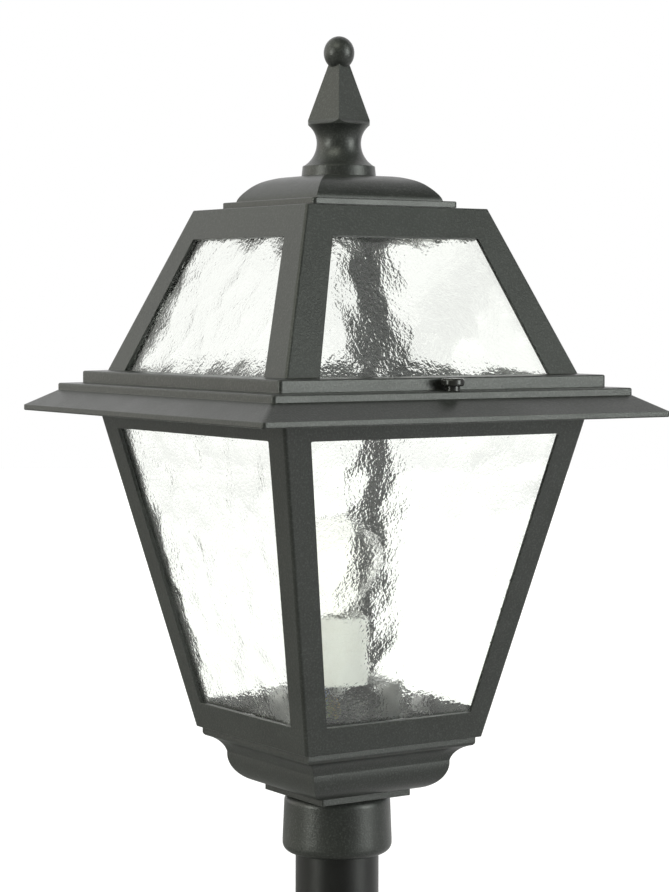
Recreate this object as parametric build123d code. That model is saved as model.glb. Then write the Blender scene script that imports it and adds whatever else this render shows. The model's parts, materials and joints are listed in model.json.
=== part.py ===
from build123d import *
import math
import os

# Post top lantern, in millimetres, +Z up.
# Origin: centre of the lower end of the post tube. The faces of the square lantern are square to X and Y,
# and front is -Y. Half-widths are measured from the axis to a flat face.

# Post tube and collar
tube_r = 30.0
tube_wall = 3.0
tube_exposed = 120.0
tube_gap = 0.15
spigot_r = 29.0
collar_r = 39.4
collar_top_r = 38.0
collar_h = 42.1
collar_belt = 9.0
collar_bottom_round = 6.5
collar_top_fill = 0.96
neck_r = 32.2
neck_h = 28.0
neck_lip = 4.0
cable_hole_r = 12.0
set_screw_r = 3.0
set_screw_len = 8.0
set_screw_z = 18.0
set_key_r = 1.7
set_key_depth = 3.0
set_screw_angles = (45.0, 135.0)
ring_nut_r = 37.6
ring_nut_t = 7.0
ring_nut_slot = 8.0
ring_nut_notch = 3.0
thread_gap = 0.1
seat_gap = 0.3
cut_over = 0.5

# Base moulding
plate_w = 38.0
plate_t = 5.0
moulding_h = 39.1
moulding_wall = 4.5
bowl_in = 11.2
bowl_h = 20.0
bowl_flat = 37.8
bowl_rise = 1.4
cove_in = 1.8
cove_h = 11.2
cove_r = 14.6
band_in = 3.6
band_r = 2.4
band_bulge_r = 3.12
moulding_corner = 1.5
base_boss_r = 5.5
base_boss_h = 16.0
base_screw_inset = 14.0

# Lower frame: half-widths at its bottom and its top
body_w = 74.4
body_top_w = 127.2
body_h = 236.3
body_wall = 2.5
body_corner = 2.3
edge_round = 0.9
body_stile_low = 17.8
body_stile_high = 20.2
body_rail_low = 19.1
body_rail_high = 19.1
flange_t = 4.0
flange_low_in = 26.4
flange_corner = 6.0
flange_top_in = 15.0
lug_w = 17.0
lug_t = 8.0
seal_t = 2.7
seal_in = 2.5
seal_width = 9.0

# Roof casting
skirt_out = 18.6
lip_t = 4.0
lip_drop = 10.1
skirt_rise = 11.1
ledge_out = 13.3
step_low_h = 5.0
step_high_out = 7.8
step_high_h = 9.0
ledge_slope = 0.05
ledge_round = 1.3
brim_wall = 4.0
brim_corner = 2.8
brim_hole_in = 20.2
brim_hole_corner = 4.0
brim_hollow_corner = 1.0
step_low_wall = 5.5
rib_gap = 0.3
roof_in = 5.6
roof_top_w = 75.9
roof_h = 115.7
roof_wall = 2.5
roof_stile_low = 26.2
roof_stile_high = 23.6
roof_rail_high = 21.2

# Panes, clips and stops
pane_t = 3.0
pane_lap = 6.0
pane_lap_side = 6.5
clip_t = 1.0
clip_w = 12.0
clip_foot = 6.8
clip_reach = 5.0
clip_gap = 0.2
clip_head_gap = 0.1
stop_h = 9.0
stop_foot = 10.0

# Cap, dome and finial
gasket_t = 1.0
gasket_in = 3.0
gasket_width = 12.0
cap_in = 15.3
cap_t = 4.4
dome_in = 7.6
dome_h = 17.9
dome_crown_in = 26.0
dome_shoulder = ((1.9, 4.5), (6.9, 10.1), (13.0, 14.4), (19.1, 16.6))
dome_foot_lean = 0.12
dome_crown_lean = 0.12
dome_wall = 3.0
dome_boss_r = 9.0
foot_r = 26.5
foot_taper = 0.7
foot_h = 7.6
foot_round = 0.9
waist_r = 15.75
waist_h = 23.8
ring_r = 21.9
ring_h = 36.5
spire_low_w = 15.5
spire_top_w = 5.3
spire_base_h = 39.9
spire_top_h = 79.1
spire_flare = 6.0
spire_flare_h = 3.2
ball_r = 10.9
ball_rise = 11.8
ball_h = 87.3
finial_turn = 11.4
stud_r = 3.0
stud_in_finial = 30.0
stud_end = 2.0
washer_r = 9.0
washer_t = 1.6
nut_t = 5.0
nut_af = 10.0

# Thumb screws that hold the roof on the lower frame
screw_r = 2.5
screw_len = 24.0
screw_side = -4.0
screw_hole_gap = 0.4
knob_r = 7.8
knob_h = 5.3
knob_round = 1.6
sleeve_r = 5.0
sleeve_h = 3.3
knob_gap = 0.3
sleeve_bore_gap = 0.08

# Fasteners: shank radius, head radius, head height
m3 = (1.5, 2.8, 1.9)
m4 = (2.0, 3.8, 2.6)
hole_gap = 0.05
pane_screw_grip = 1.6
blind_gap = 0.4
stop_screw_short = 1.0
head_round = 0.9
drive_depth = 0.45
base_screw_grip = 12.0
drive_w = 0.8

# Lamp bracket, holder and lamp
bracket_w = 24.0
bracket_t = 2.0
bracket_h = 32.0
bracket_leg_gap = 2.0
bracket_foot = 15.0
bracket_hole_at = 8.25
bracket_bend = 2.5
bracket_screw_grip = 3.4
holder_r = 21.0
holder_h = 48.0
holder_well_r = 15.0
holder_floor = 12.0
holder_round = 2.5
groove_depth = 1.2
groove_w = 2.0
groove_pitch = 6.0
groove_down = 10.0
groove_count = 3
shell_r = 14.6
shell_wall = 0.6
shell_h = 30.0
contact_t = 1.6
contact_w = 8.0
contact_d = 6.0
contact_round = 1.0
nipple_r = 5.0
nipple_bore_r = 3.4
nipple_drop = 9.0
nipple_grip = 5.0
nipple_nut_af = 14.0
nipple_nut_t = 4.0
cap_shell_r = 13.3
cap_shell_h = 24.5
cap_tip_r = 4.8
cap_tip_h = 2.2
cap_round = 2.5
bulb_r = 30.0
bulb_h = 79.3
bulb_neck_r = 13.0
bulb_neck_h = 7.0
bulb_wall = 1.0
bulb_turn = 40.0

# Wiring on the lower flange
block_l = 30.0
block_d = 17.0
block_h = 15.0
block_in = 16.9
block_poles = 3
block_round = 1.5
block_screw_r = 2.0
block_screw_down = 1.5
block_well_gap = 0.3
block_well_h = 5.0
block_rib_w = 1.6
block_groove_w = 1.2
block_groove_h = 3.0
wire_in = 5.0
wire_end_gap = 1.0
earth_wire_in = 3.0
lead_r = 1.2
lead_side = 5.0
lead_rise = 7.0
lead_bend = 5.0
lead_entry = 6.0
lead_foot_gap = 14.0
lead_head_gap = 6.0
lead_tail = 7.0
earth_x = 34.0
earth_loop_r = 4.2
earth_loop_t = 1.0
earth_drop_from = 6.5
earth_drop_to = 3.5
earth_crimp = 0.6
earth_bend = 2.0
earth_lift = 0.1
earth_head_r = 3.0
grommet_lip = 3.0
grommet_lip_t = 1.5
grommet_bore_r = 5.0

# Half-widths and places that follow from the sizes above
band_w = body_w - band_in
cove_w = band_w - cove_in
bowl_w = cove_w - bowl_in
flange_hole_w = body_w - flange_low_in
bracket_leg_x = flange_hole_w - bracket_leg_gap
block_y = body_w - block_in
roof_w = body_top_w - roof_in
brim_hole_w = body_top_w - brim_hole_in
step_high_w = body_top_w + step_high_out
step_low_w = step_high_w + ledge_out
lip_w = step_low_w + skirt_out
cap_w = roof_top_w - cap_in
dome_w = cap_w - dome_in
dome_flat_w = dome_w - dome_crown_in

# Heights that follow from the sizes above
z_collar = tube_exposed
z_plate = z_collar + collar_h
z_bowl = z_plate + plate_t
z_body = z_bowl + moulding_h
z_body_top = z_body + body_h
z_land = z_body_top + seal_t
z_lip = z_land - lip_drop
z_skirt = z_lip + lip_t
z_step_low = z_skirt + skirt_rise
z_ledge = z_step_low + step_low_h
z_roof = z_ledge + step_high_h
z_roof_top = z_roof + roof_h
z_cap = z_roof_top + gasket_t
z_dome = z_cap + cap_t
z_finial = z_dome + dome_h
z_neck_top = z_plate + neck_h
z_floor = z_bowl + moulding_wall
z_flange = z_body + flange_t
z_bracket = z_flange + bracket_h

# Slopes and sizes that follow
body_lean = (body_top_w - body_w) / body_h
roof_lean = (roof_top_w - roof_w) / roof_h
body_cos = math.cos(math.atan(body_lean))
roof_cos = math.cos(math.atan(roof_lean))
body_wall_flat = body_wall / body_cos
roof_wall_flat = roof_wall / roof_cos
base_screw_at = band_w - base_screw_inset
screw_y = step_high_w + knob_r + knob_gap
bracket_screw_x = bracket_leg_x + bracket_hole_at
rib_in = roof_w + roof_lean * (z_land + brim_wall - z_roof) - roof_wall_flat + rib_gap
bore_r = spigot_r + tube_gap
sides = ("front", "right", "back", "left")

parts = {}


def square(half, z, corner=0.0):
    shape = RectangleRounded(2 * half, 2 * half, corner) if corner > 0 else Rectangle(2 * half, 2 * half)
    return Pos(0, 0, z) * shape


def frustum(low, high, z_low, z_high, corner=0.0):
    # A square block whose half-width runs from low to high
    return loft([square(low, z_low, corner), square(high, z_high, corner)], ruled=True)


def leaning(low, high, z_low, z_high, corner=0.0):
    # The same with flat sides, its four leaning corners rounded by a rolling ball
    outline = make_face(Polyline((-low, z_low), (low, z_low), (high, z_high), (-high, z_high), close=True))
    run = extrude(Plane.XZ * outline, amount=low + high, both=True)
    solid = run & (Rot(0, 0, 90) * run)
    if corner == 0:
        return solid
    return fillet(solid.edges().filter_by(lambda e: e.bounding_box().size.Z > (z_high - z_low) / 2), corner)


def block(half, z_low, z_high, corner=0.0):
    return extrude(square(half, z_low, corner), amount=z_high - z_low)


def bar(x_low, x_high, y_low, y_high, z_low, z_high):
    solid = Box(x_high - x_low, y_high - y_low, z_high - z_low)
    return Pos((x_low + x_high) / 2, (y_low + y_high) / 2, (z_low + z_high) / 2) * solid


def rod(radius, z_low, z_high, x=0.0, y=0.0):
    return Pos(x, y, (z_low + z_high) / 2) * Cylinder(radius, z_high - z_low)


def turned(outline):
    # Turns a closed outline, drawn as (radius, height), about the Z axis
    return revolve(Plane.XZ * outline, Axis.Z)


def mitred(outline, reach):
    # Square solid whose four sides all have the outline, drawn as (half-width, height)
    both = outline + mirror(outline, Plane.YZ)
    run = extrude(Plane.XZ * both, amount=reach, both=True)
    return run & (Rot(0, 0, 90) * run)


def edges_at(solid, z):
    return solid.edges().filter_by(lambda e: abs(e.center().Z - z) < 0.01 and e.bounding_box().size.Z < 0.01)


def around(solid):
    # The same piece on the front, right, back and left sides
    return [Rot(0, 0, 90 * turn) * solid for turn in range(4)]


def together(solids):
    return Compound(children=list(solids))


def wall_plane(half, lean, z):
    # Local x runs across the front wall, y up its slope, z out of it. The origin is on its outer face.
    return Plane(origin=(0, -half, z), x_dir=(1, 0, 0), z_dir=(0, -1, -lean))


def panel(plane, low_half, high_half, low_y, high_y, back, thick, corner=0.0):
    points = [(-low_half, low_y), (low_half, low_y), (high_half, high_y), (-high_half, high_y)]
    face = make_face(Polyline(*points, close=True))
    if corner > 0:
        face = fillet(face.vertices(), corner)
    return plane.location * Pos(0, 0, back) * extrude(face, amount=thick)


def screw(size, grip, slotted=True):
    # Head stands on z = 0, shank points down
    shank_r, head_r, head_h = size
    head = Pos(0, 0, head_h / 2) * Cylinder(head_r, head_h)
    head = fillet(edges_at(head, head_h), min(head_round, head_h / 3))
    if slotted:
        head -= bar(-head_r, head_r, -drive_w / 2, drive_w / 2, head_h * (1 - drive_depth), head_h + cut_over)
    return head + rod(shank_r, -grip, 0)


def square_ring(outer, inner, z_low, z_high, corner):
    return block(outer, z_low, z_high, corner) - block(inner, z_low, z_high, corner)


# Post tube, collar and what holds them

def post_tube():
    # The upper end is turned down to fit the collar, whose lower face stands on the shoulder
    top = z_neck_top - neck_lip - seat_gap
    body = rod(tube_r, 0, z_collar) + rod(spigot_r, 0, top)
    return body - rod(tube_r - tube_wall, 0, top)


def post_collar():
    points = [
        (bore_r, z_collar),
        (collar_r, z_collar),
        (collar_r, z_collar + collar_belt),
        (collar_top_r, z_plate),
        (neck_r, z_plate),
        (neck_r, z_neck_top),
        (cable_hole_r, z_neck_top),
        (cable_hole_r, z_neck_top - neck_lip),
        (bore_r, z_neck_top - neck_lip),
    ]
    outline = make_face(Polyline(*points, close=True))
    bottom = outline.vertices().sort_by_distance((collar_r, z_collar))[0]
    outline = fillet(bottom, collar_bottom_round)
    top = outline.vertices().sort_by_distance((collar_top_r, z_plate))[0]
    outline = fillet(top, (collar_top_r - neck_r) * collar_top_fill)
    body = turned(outline)
    for angle in set_screw_angles:
        hole = rod(set_screw_r + hole_gap, 0, 2 * collar_r)
        body -= Pos(0, 0, z_collar + set_screw_z) * Rot(0, 0, angle) * Rot(0, 90, 0) * hole
    return body


def collar_set_screws():
    solids = []
    for angle in set_screw_angles:
        grub = rod(set_screw_r, bore_r, bore_r + set_screw_len)
        key_low = bore_r + set_screw_len - set_key_depth
        key = extrude(Pos(0, 0, key_low) * RegularPolygon(set_key_r, 6), amount=set_key_depth)
        solids.append(Pos(0, 0, z_collar + set_screw_z) * Rot(0, 0, angle) * Rot(0, 90, 0) * (grub - key))
    return together(solids)


def collar_ring_nut():
    low, high = z_floor, z_floor + ring_nut_t
    ring = rod(ring_nut_r, low, high) - rod(neck_r + thread_gap, low, high)
    inner, outer = ring_nut_r - ring_nut_notch, ring_nut_r + ring_nut_notch
    notch = bar(inner, outer, -ring_nut_slot / 2, ring_nut_slot / 2, low, high)
    for turn in range(4):
        ring -= Rot(0, 0, 90 * turn + 45) * notch
    return ring


def cable_grommet():
    low = z_neck_top - neck_lip
    body = rod(cable_hole_r - thread_gap, low, z_neck_top)
    body += rod(cable_hole_r + grommet_lip, z_neck_top, z_neck_top + grommet_lip_t)
    body += rod(cable_hole_r + grommet_lip, low - grommet_lip_t, low)
    return body - rod(grommet_bore_r, low - grommet_lip_t, z_neck_top + grommet_lip_t)


# Base moulding

def moulding_outline():
    bowl_top = (bowl_w, z_bowl + bowl_h)
    cove_low = (bowl_w, bowl_top[1] + bowl_rise)
    cove_top = (cove_w, cove_low[1] + cove_h)
    band_low = (band_w, cove_top[1] + band_r)
    curves = [
        Line((0, z_bowl), (bowl_flat, z_bowl)),
        TangentArc((bowl_flat, z_bowl), bowl_top, tangent=(1, 0)),
        Line(bowl_top, cove_low),
        RadiusArc(cove_low, cove_top, cove_r),
        RadiusArc(cove_top, band_low, -band_bulge_r),
        Line(band_low, (band_w, z_body)),
        Line((band_w, z_body), (0, z_body)),
        Line((0, z_body), (0, z_bowl)),
    ]
    return make_face(curves)


def base_moulding():
    outline = moulding_outline()
    body = mitred(outline, 2 * band_w)
    body += block(plate_w, z_plate, z_bowl, moulding_corner)
    inner = offset(outline + mirror(outline, Plane.YZ), amount=-moulding_wall, kind=Kind.INTERSECTION)
    run = extrude(Plane.XZ * inner, amount=2 * band_w, both=True)
    cavity = run & (Rot(0, 0, 90) * run)
    body -= cavity
    body -= block(band_w - moulding_wall, z_body - moulding_wall - cut_over, z_body)
    for x in (-base_screw_at, base_screw_at):
        for y in (-base_screw_at, base_screw_at):
            body += rod(base_boss_r, z_body - base_boss_h, z_body, x, y) & mitred(outline, 2 * band_w)
            body -= rod(m4[0] + hole_gap, z_body - base_screw_grip, z_body, x, y)
    return body - rod(neck_r + seat_gap, z_plate, z_floor)


# Lower frame

def body_half(z):
    return body_w + body_lean * (z - z_body)


def body_window(lap_side=0.0, lap_low=0.0, lap_high=0.0):
    low = body_rail_low / body_cos - lap_low
    high = (body_h - body_rail_high) / body_cos + lap_high
    low_half = body_half(z_body + low * body_cos) - body_stile_low + lap_side
    high_half = body_half(z_body + high * body_cos) - body_stile_high + lap_side
    return low_half, high_half, low, high


def clip_rows(window, lap):
    # Height and direction of the clips at the bottom and top edges of a pane
    low, high = window[2] - lap, window[3] + lap
    return (low, -1), (high, 1)


def pane_clip(plane, wall, edge, way):
    # Foot on the wall beside the pane, riser, and tongue over the pane
    tongue_back = -wall - pane_t - clip_gap - clip_t
    foot = bar(-clip_w / 2, clip_w / 2, 0, clip_foot, -wall - clip_t, -wall)
    riser = bar(-clip_w / 2, clip_w / 2, 0, clip_t, tongue_back, -wall)
    tongue = bar(-clip_w / 2, clip_w / 2, -clip_reach, clip_t, tongue_back, tongue_back + clip_t)
    clip = foot + riser + tongue
    clip -= Pos(0, clip_screw_y(), 0) * rod(m3[0] + hole_gap, -wall - clip_t, -wall)
    if way < 0:
        clip = Rot(0, 0, 180) * clip
    return plane.location * Pos(0, edge + way * clip_gap, 0) * clip


def clip_screw_y():
    return clip_t + m3[1] + clip_head_gap


def clip_screw(plane, wall, edge, way):
    fixed = Pos(0, edge + way * (clip_gap + clip_screw_y()), -wall - clip_t)
    return plane.location * fixed * Rot(180, 0, 0) * screw(m3, pane_screw_grip + clip_t)


def clip_hole(plane, wall, edge, way):
    centre = edge + way * (clip_gap + clip_screw_y())
    hole = rod(m3[0] + hole_gap, -wall, -wall + pane_screw_grip + blind_gap)
    return plane.location * Pos(0, centre, 0) * hole


def body_frame():
    outer = leaning(body_w, body_top_w, z_body, z_body_top, body_corner)
    outer = fillet(edges_at(outer, z_body) + edges_at(outer, z_body_top), edge_round)
    inner = leaning(body_w - body_wall_flat, body_top_w - body_wall_flat, z_body, z_body_top)
    low_flange = outer & block(body_top_w, z_body, z_flange)
    low_flange -= block(flange_hole_w, z_body, z_flange, flange_corner)
    top_low = z_body_top - flange_t
    top_flange = outer & block(body_top_w, top_low, z_body_top)
    top_flange -= block(body_top_w - flange_top_in, top_low, z_body_top, flange_corner)
    body = (outer - inner) + low_flange + top_flange
    hole = rod(screw_r + screw_hole_gap, z_body_top - lug_t, z_body_top, screw_side, -screw_y)
    for turn in (0, 180):
        body += Rot(0, 0, turn) * roof_lug()
        body -= Rot(0, 0, turn) * hole
    plane = wall_plane(body_w, body_lean, z_body)
    window = body_window()
    opening = panel(plane, *window, -2 * body_wall, 4 * body_wall, edge_round)
    for cut in around(opening):
        body -= cut
    for edge, way in clip_rows(window, pane_lap):
        for cut in around(clip_hole(plane, body_wall, edge, way)):
            body -= cut
    for x in (-base_screw_at, base_screw_at):
        for y in (-base_screw_at, base_screw_at):
            body -= rod(m4[0] + hole_gap, z_body, z_flange, x, y)
    for x in (-bracket_screw_x, bracket_screw_x):
        body -= rod(m4[0] + hole_gap, z_body, z_flange, x, 0)
    body -= rod(m4[0] + hole_gap, z_body, z_flange, earth_x, block_y)
    return body


def roof_lug():
    # Lug under the roof ledge that takes a thumb screw
    low, high = z_body_top - lug_t, z_body_top
    lug = bar(screw_side - lug_w / 2, screw_side + lug_w / 2, -screw_y, -(body_top_w - body_wall), low, high)
    return lug + rod(lug_w / 2, low, high, screw_side, -screw_y)


def base_screws():
    solids = []
    for x in (-base_screw_at, base_screw_at):
        for y in (-base_screw_at, base_screw_at):
            solids.append(Pos(x, y, z_flange) * screw(m4, base_screw_grip))
    return together(solids)


def lower_pane():
    low_half, high_half, low, high = body_window(pane_lap_side, pane_lap, pane_lap)
    plane = wall_plane(body_w, body_lean, z_body)
    return panel(plane, low_half, high_half, low, high, -body_wall - pane_t, pane_t)


def rim_seal():
    outer = body_top_w - seal_in
    return square_ring(outer, outer - seal_width, z_body_top, z_land, body_corner)


# Roof casting

def roof_half(z):
    return roof_w + roof_lean * (z - z_roof)


def roof_window(lap_side=0.0, low_z=z_ledge, depth=0.0, lap_high=0.0):
    # low_z is the height of the lower edge, at this depth behind the outer face
    low = (low_z - z_roof) / roof_cos - depth * roof_lean
    high = (roof_h - roof_rail_high) / roof_cos + lap_high
    slope = (roof_half(z_roof_top - roof_rail_high) - roof_stile_high) - (roof_w - roof_stile_low)
    slope /= (roof_h - roof_rail_high) / roof_cos
    low_half = roof_w - roof_stile_low + slope * low + lap_side
    high_half = roof_w - roof_stile_low + slope * high + lap_side
    return low_half, high_half, low, high


def step(outer, inner, z_low, z_high):
    # The top of a step rises from its rounded outer edge to what stands on it, so that rain runs off
    top = z_high + ledge_slope * (outer - inner)
    body = block(outer, z_low, z_high, brim_corner) + frustum(outer, inner, z_high, top, brim_corner)
    return fillet(edges_at(body, z_high), ledge_round)


def brim():
    step_high = step(step_high_w, roof_w - roof_wall_flat, z_ledge, z_roof)
    step_low = step(step_low_w, step_high_w - brim_wall, z_step_low, z_ledge)
    skirt = frustum(lip_w, step_low_w, z_skirt, z_step_low, brim_corner)
    lip = block(lip_w, z_lip, z_skirt, brim_corner)
    lip = fillet(edges_at(lip, z_lip), edge_round)
    body = step_high + step_low + skirt + lip
    # Hollow under the skirt and the steps, with a wall of even thickness
    run = lip_w - step_low_w
    slant = math.hypot(run, skirt_rise)
    inset = brim_wall * slant / skirt_rise
    under_skirt = frustum(lip_w - inset, step_low_w - inset, z_skirt, z_step_low, brim_hollow_corner)
    under_skirt += block(lip_w - inset, z_lip, z_skirt, brim_hollow_corner)
    under_step = block(step_low_w - step_low_wall, z_skirt, z_ledge - brim_wall, brim_hollow_corner)
    under_step += block(step_high_w - brim_wall, z_skirt, z_roof - brim_wall, brim_hollow_corner)
    core = block(rib_in + brim_wall, z_land, z_roof)
    body -= (under_skirt + under_step) - core
    # Inside the rib: floor that the panes stand on, pocket, and the edge of the top plate
    body -= block(brim_hole_w, z_lip, z_roof, brim_hole_corner)
    body -= block(rib_in, z_land + brim_wall, z_roof - brim_wall)
    pane_face = roof_half(z_roof - brim_wall) - roof_wall_flat
    body -= block(pane_face + 2 * clip_gap, z_roof - brim_wall, z_roof + brim_wall)
    return body


def roof_casting():
    low = z_roof - brim_wall
    outer = leaning(roof_half(low), roof_top_w, low, z_roof_top, body_corner)
    outer = fillet(edges_at(outer, z_roof_top), edge_round)
    inner_top = z_roof_top - roof_wall
    inner = leaning(roof_half(low) - roof_wall_flat, roof_half(inner_top) - roof_wall_flat, low, inner_top)
    body = outer - inner
    plane = wall_plane(roof_w, roof_lean, z_roof)
    window = roof_window()
    opening = panel(plane, *window, -2 * roof_wall, 4 * roof_wall, edge_round)
    for cut in around(opening):
        body -= cut
    body += brim()
    edge, way = clip_rows(window, pane_lap)[1]
    for cut in around(clip_hole(plane, roof_wall, edge, way)):
        body -= cut
    for cut in around(rod(m3[0] + hole_gap, z_land, z_land + brim_wall, 0, -stop_screw_y())):
        body -= cut
    for turn in (0, 180):
        hole = rod(screw_r + screw_hole_gap, z_skirt, z_ledge, screw_side, -screw_y)
        seat = rod(sleeve_r + seat_gap, z_ledge, z_ledge + sleeve_h, screw_side, -screw_y)
        body -= Rot(0, 0, turn) * (hole + seat)
    return body - rod(stud_r + thread_gap, inner_top, z_roof_top)


def upper_pane():
    stand = z_land + brim_wall + seat_gap
    low_half, high_half, low, high = roof_window(pane_lap_side, stand, roof_wall + pane_t, pane_lap)
    plane = wall_plane(roof_w, roof_lean, z_roof)
    return panel(plane, low_half, high_half, low, high, -roof_wall - pane_t, pane_t)


def pane_back_half(z):
    # Half-width of the inner face of an upper pane
    return roof_half(z) - roof_wall_flat - pane_t / roof_cos


def stop_face():
    return pane_back_half(z_land + brim_wall + stop_h) - clip_gap


def stop_screw_y():
    return stop_face() - (clip_t + stop_foot) / 2


def pane_stop():
    # Angle on the brim floor, upright along the inner face of the pane
    z = z_land + brim_wall
    face = stop_face()
    foot = bar(-clip_w / 2, clip_w / 2, -(face - clip_t / 2), -(face - stop_foot), z, z + clip_t)
    upright = bar(-clip_w / 2, clip_w / 2, -face, -(face - clip_t), z, z + stop_h)
    return (foot + upright) - rod(m3[0] + hole_gap, z, z + clip_t, 0, -stop_screw_y())


def pane_stop_screw():
    grip = brim_wall + clip_t - stop_screw_short
    return Pos(0, -stop_screw_y(), z_land + brim_wall + clip_t) * screw(m3, grip)


# Cap and finial

def dome_outline(inset, foot):
    # Cushion section: steep at the foot, rounded shoulder, nearly flat crown
    top = z_finial - inset
    lower = (dome_h - inset) / dome_h
    shoulder = [(dome_w - inset, z_dome)]
    for inward, up in dome_shoulder:
        shoulder.append((dome_w - inward - inset, z_dome + up * lower))
    shoulder.append((dome_flat_w, top))
    curves = [
        Line((0, foot), (dome_w - inset, foot)),
        Line((dome_w - inset, foot), shoulder[0]),
        Spline(*shoulder, tangents=[(-dome_foot_lean, 1), (-1, dome_crown_lean)]),
        Line((dome_flat_w, top), (0, top)),
        Line((0, top), (0, foot)),
    ]
    return make_face(curves)


def roof_cap():
    plate = block(cap_w, z_cap, z_dome, brim_corner)
    plate = fillet(edges_at(plate, z_dome), edge_round)
    body = plate + mitred(dome_outline(0.0, z_cap + cap_t / 2), 2 * cap_w)
    body -= mitred(dome_outline(dome_wall, z_cap), 2 * cap_w)
    body += rod(dome_boss_r, z_cap, z_finial - dome_wall / 2)
    return body - rod(stud_r + thread_gap, z_cap, z_finial)


def cap_gasket():
    outer = cap_w - gasket_in
    return square_ring(outer, outer - gasket_width, z_roof_top, z_cap, brim_corner)


def neck_outline():
    # Turned foot, waist, and the ring that the corners of the spire stand on
    low, top = z_finial, z_finial + spire_top_h
    foot_top, ring = low + foot_h, low + ring_h
    foot_top_r = foot_r - foot_taper
    waist = (waist_r, low + waist_h)
    curves = [
        Line((0, low), (foot_r, low)),
        Line((foot_r, low), (foot_top_r, foot_top - foot_round)),
        RadiusArc((foot_top_r, foot_top - foot_round), (foot_top_r - foot_round, foot_top), -foot_round),
        TangentArc(waist, (foot_top_r - foot_round, foot_top), tangent=(0, -1)),
        TangentArc(waist, (ring_r, ring), tangent=(0, 1)),
        Line((ring_r, ring), (ring_r, top)),
        Line((ring_r, top), (0, top)),
        Line((0, top), (0, low)),
    ]
    return make_face(curves)


def spire_outline():
    # Square spire, flared at its foot, where the turned neck cuts it below
    low, top = z_finial, z_finial + spire_top_h
    foot, wide = low + spire_base_h, spire_low_w + spire_flare
    curves = [
        Line((0, low), (2 * foot_r, low)),
        Line((2 * foot_r, low), (2 * foot_r, low + waist_h)),
        Line((2 * foot_r, low + waist_h), (wide, foot - spire_flare_h)),
        RadiusArc((wide, foot - spire_flare_h), (spire_low_w, foot), spire_flare),
        Line((spire_low_w, foot), (spire_top_w, top)),
        Line((spire_top_w, top), (0, top)),
        Line((0, top), (0, low)),
    ]
    return make_face(curves)


def ball_outline():
    # The ball is a little taller than it is wide
    arc = EllipticalCenterArc((0, 0), ball_r, ball_rise, -90, arc_size=180)
    return make_face([arc, Line((0, ball_rise), (0, -ball_rise))])


def finial():
    body = turned(neck_outline()) & mitred(spire_outline(), 2 * foot_r)
    body += Pos(0, 0, z_finial + ball_h) * turned(ball_outline())
    body -= rod(stud_r + thread_gap, z_finial, z_finial + stud_in_finial + cut_over)
    return Rot(0, 0, finial_turn) * body


def finial_stud():
    low = z_roof_top - roof_wall - washer_t - nut_t - stud_end
    return rod(stud_r, low, z_finial + stud_in_finial)


def finial_washer():
    top = z_roof_top - roof_wall
    return rod(washer_r, top - washer_t, top) - rod(stud_r + thread_gap, top - washer_t, top)


def finial_nut():
    top = z_roof_top - roof_wall - washer_t
    hexagon = extrude(Pos(0, 0, top - nut_t) * RegularPolygon(nut_af / 2, 6, major_radius=False), amount=nut_t)
    return hexagon - rod(stud_r + thread_gap, top - nut_t, top)


# Thumb screws

def thumb_screw():
    low = z_ledge + sleeve_h
    head = rod(knob_r, low, low + knob_h)
    head = fillet(edges_at(head, low) + edges_at(head, low + knob_h), knob_round)
    shank = rod(screw_r, low - screw_len, low)
    return Pos(screw_side, -screw_y, 0) * (head + shank)


def screw_sleeve():
    ring = rod(sleeve_r, z_ledge, z_ledge + sleeve_h)
    ring = fillet(edges_at(ring, z_ledge), edge_round / 2)
    ring -= rod(screw_r + sleeve_bore_gap, z_ledge, z_ledge + sleeve_h)
    return Pos(screw_side, -screw_y, 0) * ring


# Lamp bracket, holder and lamp

def lamp_bracket():
    top = z_bracket - bracket_t
    half = bracket_leg_x
    line = [
        (-half - bracket_foot, z_flange + bracket_t / 2),
        (-half, z_flange + bracket_t / 2),
        (-half, top + bracket_t / 2),
        (half, top + bracket_t / 2),
        (half, z_flange + bracket_t / 2),
        (half + bracket_foot, z_flange + bracket_t / 2),
    ]
    path = FilletPolyline(*line, radius=bracket_bend)
    strip = extrude(Plane.XZ * trace(path, bracket_t), amount=bracket_w / 2, both=True)
    for x in (-bracket_screw_x, bracket_screw_x):
        strip -= rod(m4[0] + hole_gap, z_flange, z_flange + bracket_t, x, 0)
    return strip - rod(nipple_r + thread_gap, top, z_bracket)


def bracket_screws():
    solids = []
    for x in (-bracket_screw_x, bracket_screw_x):
        solids.append(Pos(x, 0, z_flange + bracket_t) * screw(m4, bracket_screw_grip + bracket_t))
    return together(solids)


def lamp_holder():
    top = z_bracket + holder_h
    body = rod(holder_r, z_bracket, top)
    body = fillet(edges_at(body, top), holder_round)
    for step in range(groove_count):
        low = top - groove_down - groove_pitch * step
        body -= rod(2 * holder_r, low, low + groove_w) - rod(holder_r - groove_depth, low, low + groove_w)
    body -= rod(holder_well_r, z_bracket + holder_floor, top)
    body -= rod(nipple_r + thread_gap, z_bracket, z_bracket + nipple_grip + cut_over)
    for x in (-lead_side, lead_side):
        body -= Pos(x, 0, z_bracket + lead_entry) * Rot(-90, 0, 0) * rod(lead_r + hole_gap, 0, 2 * holder_r)
    return body


def holder_shell():
    low = z_bracket + holder_floor
    return rod(shell_r, low, low + shell_h) - rod(shell_r - shell_wall, low, low + shell_h)


def holder_contact():
    low = z_bracket + holder_floor
    strip = bar(-contact_w / 2, contact_w / 2, -contact_d / 2, contact_d / 2, low, low + contact_t)
    return fillet(strip.edges().filter_by(Axis.Z), contact_round)


def holder_nipple():
    low = z_bracket - bracket_t - nipple_drop
    high = z_bracket + nipple_grip
    return rod(nipple_r, low, high) - rod(nipple_bore_r, low, high)


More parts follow.
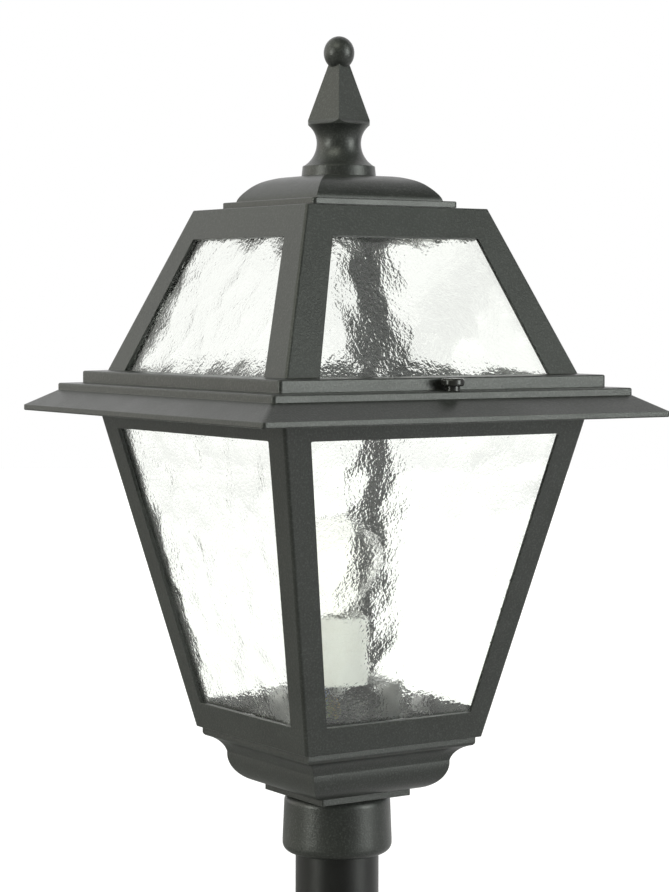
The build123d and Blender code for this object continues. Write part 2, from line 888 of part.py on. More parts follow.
def nipple_nut():
    top = z_bracket - bracket_t
    hexagon = Pos(0, 0, top - nipple_nut_t) * RegularPolygon(nipple_nut_af / 2, 6, major_radius=False)
    return extrude(hexagon, amount=nipple_nut_t) - rod(nipple_r + thread_gap, top - nipple_nut_t, top)


def lamp_low():
    return z_bracket + holder_floor + contact_t + seat_gap


def lamp_cap():
    low = lamp_low()
    shell_low = low + cap_tip_h
    body = rod(cap_tip_r, low, shell_low) + rod(cap_shell_r, shell_low, shell_low + cap_shell_h)
    return fillet(edges_at(body, shell_low).sort_by(SortBy.LENGTH)[-1:], cap_round)


def bulb_outline(inset):
    low = lamp_low() + cap_tip_h + cap_shell_h
    centre = low + bulb_h - bulb_r
    r = bulb_r - inset
    angle = math.radians(bulb_turn)
    join = (r * math.cos(angle), centre - r * math.sin(angle))
    neck = (bulb_neck_r - inset, low + bulb_neck_h)
    curves = [
        Line((0, low + inset), (bulb_neck_r - inset, low + inset)),
        Line((bulb_neck_r - inset, low + inset), neck),
        Spline(neck, join, tangents=[(0, 1), (math.sin(angle), math.cos(angle))]),
        CenterArc((0, centre), r, -bulb_turn, 90 + bulb_turn),
        Line((0, centre + r), (0, low + inset)),
    ]
    return make_face(curves)


def lamp_bulb():
    return turned(bulb_outline(0.0)) - turned(bulb_outline(bulb_wall))


# Wiring

def terminal_block():
    top = z_flange + block_h
    near, far = block_y - block_d / 2, block_y + block_d / 2
    body = bar(-block_l / 2, block_l / 2, near, far, z_flange, top)
    body = fillet(body.edges().filter_by(Axis.Z), block_round)
    places = pole_places()
    for x in places:
        body -= rod(block_screw_r + block_well_gap, top - block_well_h, top, x, block_y)
    for x, next_x in zip(places, places[1:]):
        middle = (x + next_x) / 2
        for edge in (middle - block_rib_w / 2 - block_groove_w, middle + block_rib_w / 2):
            body -= bar(edge, edge + block_groove_w, near, far, top - block_groove_h, top)
    for x in (-lead_side, lead_side):
        wire = rod(lead_r + hole_gap, 0, wire_in)
        body -= Pos(x, near, z_flange + lead_rise) * Rot(-90, 0, 0) * wire
    side = rod(lead_r + hole_gap, 0, earth_wire_in)
    return body - Pos(block_l / 2, block_y, z_flange + lead_rise) * Rot(0, -90, 0) * side


def pole_places():
    pitch = block_l / block_poles
    return [pitch * (i - (block_poles - 1) / 2) for i in range(block_poles)]


def terminal_screws():
    top = z_flange + block_h - block_screw_down
    solids = []
    for x in pole_places():
        head = rod(block_screw_r, z_flange + block_h - block_well_h, top, x, block_y)
        near, far = block_y - drive_w / 2, block_y + drive_w / 2
        slot = bar(x - block_screw_r, x + block_screw_r, near, far, top - drive_w, top)
        solids.append(head - slot)
    return together(solids)


def lead(points, bend):
    path = FilletPolyline(*points, radius=bend)
    start = Plane(origin=path @ 0, z_dir=path % 0)
    return sweep(start * Circle(lead_r), path)


def power_lead(x):
    entry = z_bracket + lead_entry
    points = [
        (x, block_y - block_d / 2 + wire_in - wire_end_gap, z_flange + lead_rise),
        (x, holder_r + lead_foot_gap, z_flange + lead_rise),
        (x, holder_r + lead_head_gap, entry),
        (x, holder_r - lead_tail, entry),
    ]
    return lead(points, lead_bend)


def earth_lead():
    low = z_flange + lead_r + earth_lift
    points = [
        (block_l / 2 - earth_wire_in + wire_end_gap, block_y, z_flange + lead_rise),
        (earth_x - earth_loop_r - earth_drop_from, block_y, z_flange + lead_rise),
        (earth_x - earth_loop_r - earth_drop_to, block_y, low),
        (earth_x - earth_loop_r + earth_crimp, block_y, low),
    ]
    loop = rod(earth_loop_r, z_flange, z_flange + earth_loop_t, earth_x, block_y)
    loop -= rod(m4[0] + hole_gap, z_flange, z_flange + earth_loop_t, earth_x, block_y)
    return lead(points, earth_bend) + loop


def earth_screw():
    return Pos(earth_x, block_y, z_flange + earth_loop_t) * screw((m4[0], earth_head_r, m4[2]), flange_t)


# Collect the nodes

parts["post_tube"] = post_tube()
parts["post_collar"] = post_collar()
parts["collar_set_screws"] = collar_set_screws()
parts["collar_ring_nut"] = collar_ring_nut()
parts["cable_grommet"] = cable_grommet()
parts["base_moulding"] = base_moulding()
parts["base_screws"] = base_screws()
parts["body_frame"] = body_frame()
parts["rim_seal"] = rim_seal()
parts["roof_casting"] = roof_casting()
parts["cap_gasket"] = cap_gasket()
parts["roof_cap"] = roof_cap()
parts["finial"] = finial()
parts["finial_stud"] = finial_stud()
parts["finial_washer"] = finial_washer()
parts["finial_nut"] = finial_nut()

body_plane = wall_plane(body_w, body_lean, z_body)
roof_plane = wall_plane(roof_w, roof_lean, z_roof)
body_rows = clip_rows(body_window(), pane_lap)
roof_row = clip_rows(roof_window(), pane_lap)[1]
for name, pane in zip(sides, around(lower_pane())):
    parts["lower_pane_" + name] = pane
for name, pane in zip(sides, around(upper_pane())):
    parts["upper_pane_" + name] = pane
lower_clips = []
lower_clip_screws = []
for edge, way in body_rows:
    lower_clips += around(pane_clip(body_plane, body_wall, edge, way))
    lower_clip_screws += around(clip_screw(body_plane, body_wall, edge, way))
parts["lower_pane_clips"] = together(lower_clips)
parts["lower_clip_screws"] = together(lower_clip_screws)
parts["upper_pane_clips"] = together(around(pane_clip(roof_plane, roof_wall, *roof_row)))
parts["upper_clip_screws"] = together(around(clip_screw(roof_plane, roof_wall, *roof_row)))
parts["upper_pane_stops"] = together(around(pane_stop()))
parts["upper_stop_screws"] = together(around(pane_stop_screw()))
for name, turn in (("front", 0), ("back", 180)):
    parts["thumb_screw_" + name] = Rot(0, 0, turn) * thumb_screw()
    parts["screw_sleeve_" + name] = Rot(0, 0, turn) * screw_sleeve()

parts["lamp_bracket"] = lamp_bracket()
parts["bracket_screws"] = bracket_screws()
parts["lamp_holder"] = lamp_holder()
parts["holder_shell"] = holder_shell()
parts["holder_contact"] = holder_contact()
parts["holder_nipple"] = holder_nipple()
parts["nipple_nut"] = nipple_nut()
parts["lamp_cap"] = lamp_cap()
parts["lamp_bulb"] = lamp_bulb()
parts["terminal_block"] = terminal_block()
parts["terminal_screws"] = terminal_screws()
parts["live_lead"] = power_lead(-lead_side)
parts["neutral_lead"] = power_lead(lead_side)
parts["earth_lead"] = earth_lead()
parts["earth_screw"] = earth_screw()

os.makedirs("parts", exist_ok=True)
for name, solid in parts.items():
    export_step(solid, f"parts/{name}.step")
print(len(parts), "nodes written")
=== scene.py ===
import json
import math

import bmesh
import bpy
from mathutils import Matrix, Vector, noise


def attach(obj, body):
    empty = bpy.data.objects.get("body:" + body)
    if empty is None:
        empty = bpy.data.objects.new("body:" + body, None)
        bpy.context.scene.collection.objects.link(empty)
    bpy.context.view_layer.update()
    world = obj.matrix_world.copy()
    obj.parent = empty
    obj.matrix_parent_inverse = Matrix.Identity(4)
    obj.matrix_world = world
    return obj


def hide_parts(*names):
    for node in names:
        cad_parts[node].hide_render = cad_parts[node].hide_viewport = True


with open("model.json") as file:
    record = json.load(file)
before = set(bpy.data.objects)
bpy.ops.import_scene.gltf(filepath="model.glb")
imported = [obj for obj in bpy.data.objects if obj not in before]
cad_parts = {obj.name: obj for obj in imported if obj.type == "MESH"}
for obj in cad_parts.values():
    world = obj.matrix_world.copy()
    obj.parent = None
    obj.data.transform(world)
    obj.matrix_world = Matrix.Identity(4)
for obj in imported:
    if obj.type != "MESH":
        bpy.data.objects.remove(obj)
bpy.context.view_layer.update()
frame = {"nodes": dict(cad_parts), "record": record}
nodes = frame["nodes"]
mm = 0.001

# Camera, as found from the lantern's own edges. Angles in degrees, azimuth 0 looks along +Y
view = {
    "distance": 1.728, "height": 0.5095, "azimuth": -33.63, "pitch": -3.238, "yaw": 0.085, "roll": 0.137,
    "focalPixels": 2421.1, "imageHeight": 892, "sensor": 36.0,
}


def addCamera():
    turn = math.radians(view["azimuth"])
    data = bpy.data.cameras.new("photoCamera")
    data.sensor_width = view["sensor"]
    data.lens = view["focalPixels"] * view["sensor"] / view["imageHeight"]
    data.clip_start = 0.05
    camera = bpy.data.objects.new("photoCamera", data)
    place = Vector((math.sin(turn), -math.cos(turn), 0)) * view["distance"]
    place.z = view["height"]
    heading = Matrix.Rotation(math.radians(view["azimuth"] + view["yaw"]), 4, "Z")
    tilt = Matrix.Rotation(math.radians(90 + view["pitch"]), 4, "X")
    roll = Matrix.Rotation(math.radians(view["roll"]), 4, "Z")
    camera.matrix_world = Matrix.Translation(place) @ heading @ tilt @ roll
    bpy.context.scene.collection.objects.link(camera)
    bpy.context.scene.camera = camera


addCamera()
print("camera placed")


# Small helpers for shader nodes
def addNode(tree, kind, ins=None, **settings):
    node = tree.nodes.new(kind)
    for name, value in settings.items():
        setattr(node, name, value)
    for name, value in (ins or {}).items():
        if isinstance(value, bpy.types.NodeSocket):
            tree.links.new(value, node.inputs[name])
        else:
            node.inputs[name].default_value = value
    return node


def mathNode(tree, operation, first, second=0.0, third=0.0):
    node = addNode(tree, "ShaderNodeMath", {0: first, 1: second, 2: third}, operation=operation)
    return node.outputs[0]


def mixColour(tree, factor, first, second, blend="MIX"):
    node = tree.nodes.new("ShaderNodeMix")
    node.data_type = "RGBA"
    node.blend_type = blend
    for index, value in ((0, factor), (6, first), (7, second)):
        if isinstance(value, bpy.types.NodeSocket):
            tree.links.new(value, node.inputs[index])
        elif index == 0:
            node.inputs[0].default_value = value
        else:
            node.inputs[index].default_value = (*value[:3], 1)
    return node.outputs[2]


def newGroup(name, inputs, outputs):
    group = bpy.data.node_groups.new(name, "ShaderNodeTree")
    for label, start in inputs.items():
        socket = group.interface.new_socket(label, in_out="INPUT", socket_type="NodeSocketFloat")
        socket.default_value = start
    for label, kind in outputs.items():
        group.interface.new_socket(label, in_out="OUTPUT", socket_type=kind)
    return group, group.nodes.new("NodeGroupInput").outputs, group.nodes.new("NodeGroupOutput").inputs


def placeGroup(tree, group, **ins):
    node = addNode(tree, "ShaderNodeGroup", node_tree=group)
    for name, value in ins.items():
        node.inputs[name].default_value = value
    return node.outputs


# Slow patterns in waves per metre, and the middle parts of a noise that are spread over a whole range
patterns = {"peel": 260.0, "cloud": 34.0, "patch": 220.0, "opalCloud": 60.0, "speckFrom": 0.48, "speckTo": 0.72}
middle = (0.3, 0.7)
narrowMiddle = (0.35, 0.65)
tightMiddle = (0.4, 0.6)


# Edges: softens sharp edges in the shading and gives a mask of where they are
def makeEdgeGroup():
    group, ins, outs = newGroup(
        "softEdges",
        {"Radius": 0.6 * mm, "Sharpness": 6.0},
        {"Normal": "NodeSocketVector", "Edge": "NodeSocketFloat"},
    )
    bevel = addNode(group, "ShaderNodeBevel", {"Radius": ins["Radius"]}, samples=4)
    geometry = addNode(group, "ShaderNodeNewGeometry")
    agreement = addNode(
        group, "ShaderNodeVectorMath",
        {0: bevel.outputs[0], 1: geometry.outputs["True Normal"]}, operation="DOT_PRODUCT",
    )
    bent = mathNode(group, "SUBTRACT", 1.0, agreement.outputs["Value"])
    edge = mathNode(group, "MULTIPLY", bent, ins["Sharpness"])
    clamp = addNode(group, "ShaderNodeClamp", {"Value": edge})
    group.links.new(bevel.outputs[0], outs["Normal"])
    group.links.new(clamp.outputs[0], outs["Edge"])
    return group


# Powder coat grain: fine pebbles over a soft orange peel, with the specks of a textured charcoal coat
def makeCoatGroup():
    group, ins, outs = newGroup(
        "coatGrain",
        {"Grain": 1100.0, "Depth": 0.05 * mm, "Peel": 0.04 * mm, "Radius": 0.6 * mm},
        {
            "Normal": "NodeSocketVector", "Speck": "NodeSocketFloat",
            "Cloud": "NodeSocketFloat", "Edge": "NodeSocketFloat",
        },
    )
    place = addNode(group, "ShaderNodeTexCoord").outputs["Object"]
    soft = addNode(group, "ShaderNodeGroup", node_tree=softEdges)
    group.links.new(ins["Radius"], soft.inputs["Radius"])
    pebbles = addNode(
        group, "ShaderNodeTexNoise", {"Vector": place, "Scale": ins["Grain"], "Detail": 2.0, "Roughness": 0.55}
    )
    peel = addNode(group, "ShaderNodeTexNoise", {"Vector": place, "Scale": patterns["peel"], "Detail": 1.0})
    cloud = addNode(
        group, "ShaderNodeTexNoise",
        {"Vector": place, "Scale": patterns["cloud"], "Detail": 4.0, "Roughness": 0.6},
    )
    peelBump = addNode(
        group, "ShaderNodeBump",
        {"Height": peel.outputs[0], "Distance": ins["Peel"], "Normal": soft.outputs["Normal"]},
    )
    grainBump = addNode(
        group, "ShaderNodeBump",
        {"Height": pebbles.outputs[0], "Distance": ins["Depth"], "Normal": peelBump.outputs[0]},
    )
    speck = addNode(
        group, "ShaderNodeMapRange",
        {"Value": pebbles.outputs[0], "From Min": patterns["speckFrom"], "From Max": patterns["speckTo"]},
    )
    group.links.new(grainBump.outputs[0], outs["Normal"])
    group.links.new(speck.outputs[0], outs["Speck"])
    group.links.new(cloud.outputs[0], outs["Cloud"])
    group.links.new(soft.outputs["Edge"], outs["Edge"])
    return group


# Bare and plated metal: long faint drawing lines and a patchy plating
def makeMetalGroup():
    group, ins, outs = newGroup(
        "metalGrain",
        {"Lines": 900.0, "Stretch": 0.05, "Depth": 0.01 * mm, "Radius": 0.25 * mm},
        {"Normal": "NodeSocketVector", "Patch": "NodeSocketFloat", "Line": "NodeSocketFloat"},
    )
    place = addNode(group, "ShaderNodeTexCoord").outputs["Object"]
    soft = addNode(group, "ShaderNodeGroup", node_tree=softEdges)
    group.links.new(ins["Radius"], soft.inputs["Radius"])
    stretch = addNode(group, "ShaderNodeCombineXYZ", {"X": 1.0, "Y": 1.0, "Z": ins["Stretch"]})
    drawn = addNode(group, "ShaderNodeVectorMath", {0: place, 1: stretch.outputs[0]}, operation="MULTIPLY")
    lines = addNode(
        group, "ShaderNodeTexNoise", {"Vector": drawn.outputs[0], "Scale": ins["Lines"], "Detail": 3.0}
    )
    patch = addNode(group, "ShaderNodeTexNoise", {"Vector": place, "Scale": patterns["patch"], "Detail": 3.0})
    bump = addNode(
        group, "ShaderNodeBump",
        {"Height": lines.outputs[0], "Distance": ins["Depth"], "Normal": soft.outputs["Normal"]},
    )
    group.links.new(bump.outputs[0], outs["Normal"])
    group.links.new(patch.outputs[0], outs["Patch"])
    group.links.new(lines.outputs[0], outs["Line"])
    return group


softEdges = makeEdgeGroup()
coatGrain = makeCoatGroup()
metalGrain = makeMetalGroup()


def newMaterial(name):
    material = bpy.data.materials.new(name)
    material.use_nodes = True
    tree = material.node_tree
    return material, tree, tree.nodes["Principled BSDF"]


def ramp(tree, value, span, start, end):
    low, high = span
    node = addNode(
        tree, "ShaderNodeMapRange",
        {"Value": value, "From Min": low, "From Max": high, "To Min": start, "To Max": end},
    )
    return node.outputs[0]


# The lighter edge tone is a painted highlight along the edges, standing in for light caught on rounded edges
coatLook = {
    "deep": (0.022, 0.0235, 0.022), "pale": (0.031, 0.033, 0.031), "speck": (0.115, 0.12, 0.115),
    "speckShare": 0.33, "edgeHighlightTone": (0.1, 0.107, 0.095), "edgeHighlightShare": 0.5,
    "rough": (0.3, 0.38), "grain": 760.0, "depth": 0.14 * mm, "peel": 0.05 * mm, "edgeRadius": 0.6 * mm,
}


def coatMaterial(name, look):
    material, tree, shader = newMaterial(name)
    grain = placeGroup(
        tree, coatGrain, Grain=look["grain"], Depth=look["depth"], Peel=look["peel"], Radius=look["edgeRadius"]
    )
    tone = mixColour(tree, ramp(tree, grain["Cloud"], middle, 0, 1), look["deep"], look["pale"])
    speckMask = mathNode(tree, "MULTIPLY", grain["Speck"], look["speckShare"])
    # The base colour is lightened along the edges: a painted highlight, not wear
    edgeHighlightMask = mathNode(tree, "MULTIPLY", grain["Edge"], look["edgeHighlightShare"])
    specked = mixColour(tree, speckMask, tone, look["speck"])
    edgeHighlighted = mixColour(tree, edgeHighlightMask, specked, look["edgeHighlightTone"])
    tree.links.new(edgeHighlighted, shader.inputs["Base Color"])
    tree.links.new(ramp(tree, grain["Cloud"], middle, *look["rough"]), shader.inputs["Roughness"])
    tree.links.new(grain["Normal"], shader.inputs["Normal"])
    return material


# The tube's lighter edge tone is also a painted highlight along its edges
tubeLook = {
    "deep": (0.004, 0.004, 0.004), "pale": (0.006, 0.006, 0.006), "speck": (0.03, 0.03, 0.03),
    "speckShare": 0.15, "edgeHighlightTone": (0.03, 0.03, 0.03), "edgeHighlightShare": 0.2,
    "rough": (0.3, 0.36), "grain": 700.0, "depth": 0.012 * mm, "peel": 0.02 * mm, "edgeRadius": 0.4 * mm,
}

metalLooks = {
    "zinc_steel": {
        "tone": (0.62, 0.62, 0.6), "patch": (0.5, 0.51, 0.5),
        "rough": (0.28, 0.42), "metallic": 1.0,
    },
    "clip_steel": {"tone": (0.5, 0.5, 0.49), "patch": (0.4, 0.4, 0.4), "rough": (0.26, 0.4), "metallic": 1.0},
    "nickel": {
        "tone": (0.66, 0.62, 0.55), "patch": (0.58, 0.54, 0.47),
        "rough": (0.2, 0.32), "metallic": 1.0,
    },
    "brass": {"tone": (0.72, 0.55, 0.25), "patch": (0.6, 0.42, 0.17), "rough": (0.22, 0.36), "metallic": 1.0},
}


def metalMaterial(name, look):
    material, tree, shader = newMaterial(name)
    grain = placeGroup(tree, metalGrain)
    tone = mixColour(tree, ramp(tree, grain["Patch"], narrowMiddle, 0, 1), look["tone"], look["patch"])
    tree.links.new(tone, shader.inputs["Base Color"])
    tree.links.new(ramp(tree, grain["Line"], middle, *look["rough"]), shader.inputs["Roughness"])
    tree.links.new(grain["Normal"], shader.inputs["Normal"])
    shader.inputs["Metallic"].default_value = look["metallic"]
    return material


plasticLooks = {
    "black_knob": {
        "tone": (0.02, 0.02, 0.019), "patch": (0.03, 0.03, 0.028),
        "rough": (0.14, 0.2), "grain": 260.0,
    },
    "rubber": {
        "tone": (0.016, 0.016, 0.016), "patch": (0.026, 0.026, 0.025),
        "rough": (0.65, 0.8), "grain": 900.0,
    },
    "porcelain": {
        "tone": (0.92, 0.92, 0.89), "patch": (0.88, 0.87, 0.83),
        "rough": (0.12, 0.2), "grain": 300.0,
    },
    "terminal_nylon": {
        "tone": (0.78, 0.78, 0.74), "patch": (0.7, 0.7, 0.66),
        "rough": (0.45, 0.6), "grain": 700.0,
    },
    "lead_brown": {
        "tone": (0.16, 0.07, 0.03), "patch": (0.12, 0.05, 0.022),
        "rough": (0.4, 0.55), "grain": 800.0,
    },
    "lead_blue": {
        "tone": (0.03, 0.13, 0.4), "patch": (0.024, 0.1, 0.32),
        "rough": (0.4, 0.55), "grain": 800.0,
    },
    "lead_green": {
        "tone": (0.1, 0.34, 0.05), "patch": (0.3, 0.28, 0.05),
        "rough": (0.4, 0.55), "grain": 60.0,
    },
}


def plasticMaterial(name, look):
    material, tree, shader = newMaterial(name)
    grain = placeGroup(tree, coatGrain, Grain=look["grain"], Depth=0.02 * mm, Peel=0.02 * mm, Radius=0.3 * mm)
    tone = mixColour(tree, ramp(tree, grain["Cloud"], tightMiddle, 0, 1), look["tone"], look["patch"])
    tree.links.new(tone, shader.inputs["Base Color"])
    tree.links.new(ramp(tree, grain["Cloud"], middle, *look["rough"]), shader.inputs["Roughness"])
    tree.links.new(grain["Normal"], shader.inputs["Normal"])
    return material


glassLook = {
    "tint": (0.985, 0.995, 0.975), "shadowTint": (0.92, 0.94, 0.92), "ior": 1.5,
    "rippleScale": 400.0, "rippleDepth": 0.15 * mm,
}


def glassMaterial(name, look):
    material, tree, shader = newMaterial(name)
    place = addNode(tree, "ShaderNodeTexCoord").outputs["Object"]
    ripple = addNode(
        tree, "ShaderNodeTexNoise",
        {"Vector": place, "Scale": look["rippleScale"], "Detail": 1.5, "Roughness": 0.5, "Distortion": 0.4},
    )
    bump = addNode(tree, "ShaderNodeBump", {"Height": ripple.outputs[0], "Distance": look["rippleDepth"]})
    shader.inputs["Base Color"].default_value = (*look["tint"], 1)
    shader.inputs["Roughness"].default_value = 0.0
    shader.inputs["IOR"].default_value = look["ior"]
    shader.inputs["Transmission Weight"].default_value = 1.0
    tree.links.new(bump.outputs[0], shader.inputs["Normal"])
    clear = addNode(tree, "ShaderNodeBsdfTransparent", {"Color": (*look["shadowTint"], 1)})
    shadow = addNode(tree, "ShaderNodeLightPath").outputs["Is Shadow Ray"]
    mix = addNode(tree, "ShaderNodeMixShader", {0: shadow, 1: shader.outputs[0], 2: clear.outputs[0]})
    tree.links.new(mix.outputs[0], tree.nodes["Material Output"].inputs["Surface"])
    return material


# The lamp's glass is thin and nearly clear
opalLook = {
    "tone": (0.99, 0.99, 0.975), "patch": (0.975, 0.975, 0.955), "rough": (0.03, 0.06), "ior": 1.2, "clear": 1.0,
}


def opalMaterial(name, look):
    material, tree, shader = newMaterial(name)
    place = addNode(tree, "ShaderNodeTexCoord").outputs["Object"]
    cloud = addNode(tree, "ShaderNodeTexNoise", {"Vector": place, "Scale": patterns["opalCloud"], "Detail": 3.0})
    tone = mixColour(tree, cloud.outputs[0], look["tone"], look["patch"])
    tree.links.new(tone, shader.inputs["Base Color"])
    tree.links.new(ramp(tree, cloud.outputs[0], middle, *look["rough"]), shader.inputs["Roughness"])
    shader.inputs["IOR"].default_value = look["ior"]
    shader.inputs["Transmission Weight"].default_value = look["clear"]
    return material


def makeMaterials():
    made = {"cast_coat": coatMaterial("castCoat", coatLook), "tube_paint": coatMaterial("tubePaint", tubeLook)}
    for slot, look in metalLooks.items():
        made[slot] = metalMaterial(slot, look)
    for slot, look in plasticLooks.items():
        made[slot] = plasticMaterial(slot, look)
    made["hammered_glass"] = glassMaterial("hammeredGlass", glassLook)
    made["opal_glass"] = opalMaterial("opalGlass", opalLook)
    return made


materials = makeMaterials()
for part in frame["record"]["subparts"]:
    mesh = nodes[part["node"]].data
    mesh.materials.clear()
    mesh.materials.append(materials[part["material_slot"]])
print("materials made:", len(materials))


# Hammered panes: smooth outside, and inside a field of shallow lens-like dimples with a slow swell under them
paneLook = {
    "step": 1.5 * mm, "lens": 0.7 * mm, "lensSize": 20 * mm, "swell": 0.5 * mm, "swellSize": 22 * mm,
    "rim": 4 * mm, "lensReach": 0.8, "swellMiddle": 0.5, "seedShift": (7.3, 3.1, 5.7),
}


def rippleHeight(point, seed):
    shift = Vector([seed * step for step in paneLook["seedShift"]])
    nearest = noise.voronoi(point / paneLook["lensSize"] + shift)[0][0]
    swell = noise.noise(point / paneLook["swellSize"] + shift) + paneLook["swellMiddle"]
    return min(nearest, paneLook["lensReach"]) ** 2 * paneLook["lens"] + swell * paneLook["swell"]


def paneFaces(node):
    # The corners of the CAD pane's outer and inner face, each as low and high pairs from left to right
    points = sorted({tuple(round(c, 6) for c in v.co) for v in node.data.vertices}, key=lambda p: p[2])
    points = [Vector(p) for p in points]
    centre = sum(points, Vector()) / len(points)
    outward = Vector((centre.x, centre.y, 0)).normalized()
    across = Vector((0, 0, 1)).cross(outward)
    outer, inner = [], []
    for level in (points[:4], points[-4:]):
        ranked = sorted(level, key=lambda p: p.dot(outward))
        inner.append(sorted(ranked[:2], key=lambda p: p.dot(across)))
        outer.append(sorted(ranked[2:], key=lambda p: p.dot(across)))
    return outer, inner


def hammeredPane(name, seed):
    outer, inner = paneFaces(nodes[name])
    width = (outer[0][0] - outer[0][1]).length
    height = (outer[0][0] - outer[1][0]).length
    thick = outer[0][0] - inner[0][0]
    mesh = bmesh.new()
    bmesh.ops.create_grid(
        mesh, x_segments=round(width / paneLook["step"]), y_segments=round(height / paneLook["step"]), size=0.5
    )
    for vert in mesh.verts:
        u, v = vert.co.x + 0.5, vert.co.y + 0.5
        place = inner[0][0].lerp(inner[0][1], u).lerp(inner[1][0].lerp(inner[1][1], u), v)
        fromEdge = min(u * width, (1 - u) * width, v * height, (1 - v) * height)
        share = min(fromEdge / paneLook["rim"], 1)
        vert.co = place + thick.normalized() * rippleHeight(place, seed) * share
    rim = [e for e in mesh.edges if e.is_boundary]
    walls = bmesh.ops.extrude_edge_only(mesh, edges=rim)["geom"]
    for vert in (g for g in walls if isinstance(g, bmesh.types.BMVert)):
        vert.co += thick
    rimEdges = [g for g in walls if isinstance(g, bmesh.types.BMEdge) and g.is_boundary]
    bmesh.ops.contextual_create(mesh, geom=rimEdges)
    bmesh.ops.recalc_face_normals(mesh, faces=mesh.faces)
    data = bpy.data.meshes.new(name + "_hammered")
    mesh.to_mesh(data)
    mesh.free()
    for face in data.polygons:
        face.use_smooth = len(face.vertices) == 4
    pane = bpy.data.objects.new(name + "_hammered", data)
    bpy.context.scene.collection.objects.link(pane)
    data.materials.append(materials["hammered_glass"])
    return pane


def addPanes():
    bodyOf = {"lower": "base", "upper": "roof"}
    seed = 1
    for level, body in bodyOf.items():
        for side in ("front", "right", "back", "left"):
            name = f"{level}_pane_{side}"
            pane = hammeredPane(name, seed)
            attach(pane, body)
            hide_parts(name)
            seed += 1


addPanes()
print("panes rippled")


# Floor and light. The floor whitens away from the post and keeps the shadow near it. Angles in degrees
stageLook = {
    "floorRadius": 6.0, "floorSides": 96, "floorTone": 0.35, "floorRough": 0.4,
    "glowNear": 0.74, "glowFar": 0.8, "glowSpan": (0.3, 2.0),
    "ambient": 0.02, "backAzimuth": 146.4, "backRise": 8, "backSpan": (0.35, 0.75),
    "litAzimuth": 80, "litRise": 0, "litSpan": (0.0, 0.6), "litShare": 0.5,
}


def heading(azimuth, rise):
    turn, lift = math.radians(azimuth), math.radians(rise)
    return Vector((math.sin(turn) * math.cos(lift), -math.cos(turn) * math.cos(lift), math.sin(lift)))


def vectorNode(tree, operation, ins, output="Vector"):
    return addNode(tree, "ShaderNodeVectorMath", ins, operation=operation).outputs[output]


def towards(tree, direction, azimuth, rise):
    return vectorNode(tree, "DOT_PRODUCT", {0: direction, 1: heading(azimuth, rise)}, "Value")


# Camera and glass see the white everywhere, and gloss sees it only on the side that the mask gives
def seenShare(tree, mask):
    paths = addNode(tree, "ShaderNodeLightPath").outputs
    direct = mathNode(tree, "MAXIMUM", paths["Is Camera Ray"], paths["Is Transmission Ray"])
    return mathNode(tree, "MAXIMUM", direct, mathNode(tree, "MULTIPLY", paths["Is Glossy Ray"], mask))


def addFloor():
    mesh = bmesh.new()
    bmesh.ops.create_circle(
        mesh, cap_ends=True, segments=stageLook["floorSides"], radius=stageLook["floorRadius"]
    )
    data = bpy.data.meshes.new("floor")
    mesh.to_mesh(data)
    mesh.free()
    floor = bpy.data.objects.new("floor", data)
    bpy.context.scene.collection.objects.link(floor)
    material, tree, shader = newMaterial("paleFloor")
    shader.inputs["Base Color"].default_value = (stageLook["floorTone"],) * 3 + (1,)
    shader.inputs["Roughness"].default_value = stageLook["floorRough"]
    place = addNode(tree, "ShaderNodeTexCoord").outputs["Object"]
    far = vectorNode(tree, "LENGTH", {0: place}, "Value")
    glow = ramp(tree, far, stageLook["glowSpan"], stageLook["glowNear"], stageLook["glowFar"])
    outward = vectorNode(tree, "NORMALIZE", {0: place})
    litSide = towards(tree, outward, stageLook["litAzimuth"], stageLook["litRise"])
    seen = seenShare(tree, ramp(tree, litSide, stageLook["litSpan"], 0, stageLook["litShare"]))
    light = addNode(tree, "ShaderNodeEmission", {"Strength": mathNode(tree, "MULTIPLY", seen, glow)})
    both = addNode(tree, "ShaderNodeAddShader", {0: shader.outputs[0], 1: light.outputs[0]})
    # From below the floor is open, so that the lantern shows
    below = addNode(tree, "ShaderNodeNewGeometry").outputs["Backfacing"]
    clear = addNode(tree, "ShaderNodeBsdfTransparent")
    oneSided = addNode(tree, "ShaderNodeMixShader", {0: below, 1: both.outputs[0], 2: clear.outputs[0]})
    tree.links.new(oneSided.outputs[0], tree.nodes["Material Output"].inputs["Surface"])
    data.materials.append(material)


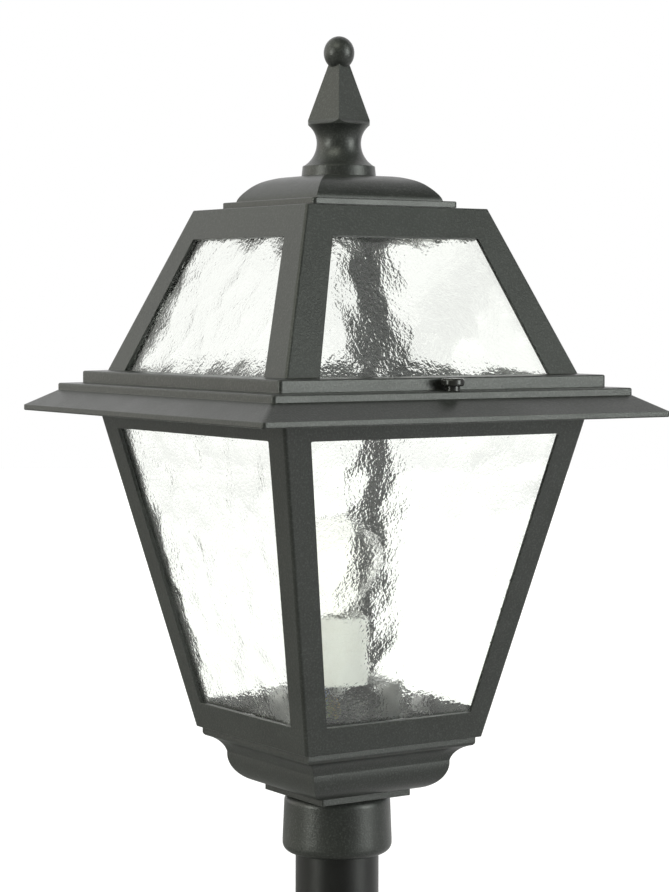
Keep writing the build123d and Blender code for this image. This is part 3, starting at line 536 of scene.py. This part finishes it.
# Studio light as soft lobes of the sky: azimuth, height angle, tightness, colour and strength
lobes = (
    (33, 24, 50, (0.98, 1.05, 0.97), 3.6),
    (33, 10, 50, (0.98, 1.05, 0.97), 3.0),
    (33, 1, 50, (0.98, 1.05, 0.97), 6.5),
    (28, -5, 14, (1.0, 1.03, 1.03), 2.2),
    (60, 24, 50, (1.0, 1.04, 0.96), 0.6),
    (-93, 6, 60, (1.0, 1.04, 0.95), 12.0),
    (-46, 46, 50, (1.03, 1.07, 0.9), 4.4),
    (-78, 46, 50, (1.03, 1.07, 0.9), 4.1),
    (-142, 42, 14, (1.0, 1.05, 0.95), 1.3),
    (-124, 18, 14, (1.05, 1.02, 0.9), 1.1),
    (-148, 0, 20, (1.05, 1.02, 0.92), 1.5),
    (146, 18, 14, (1.05, 1.05, 0.9), 0.62),
    (-178, 42, 14, (1.03, 1.04, 0.92), 0.47),
)


def addSky():
    world = bpy.data.worlds.new("studio")
    bpy.context.scene.world = world
    world.use_nodes = True
    tree = world.node_tree
    direction = addNode(tree, "ShaderNodeTexCoord").outputs["Generated"]
    total = (stageLook["ambient"],) * 3
    for azimuth, rise, tight, colour, strength in lobes:
        facing = towards(tree, direction, azimuth, rise)
        fall = mathNode(tree, "EXPONENT", mathNode(tree, "MULTIPLY_ADD", facing, tight, -tight))
        scaled = vectorNode(tree, "SCALE", {0: [c * strength for c in colour], "Scale": fall})
        total = vectorNode(tree, "ADD", {0: total, 1: scaled})
    behind = towards(tree, direction, stageLook["backAzimuth"], stageLook["backRise"])
    share = ramp(tree, behind, stageLook["backSpan"], 0, 1)
    white = addNode(tree, "ShaderNodeCombineXYZ", {"X": share, "Y": share, "Z": share}).outputs["Vector"]
    total = vectorNode(tree, "MAXIMUM", {0: total, 1: white})
    seen = seenShare(tree, share)
    tree.links.new(mixColour(tree, seen, total, (1, 1, 1)), tree.nodes["Background"].inputs["Color"])


addFloor()
addSky()
bpy.context.scene.view_settings.view_transform = "Standard"
print("stage and lights set")
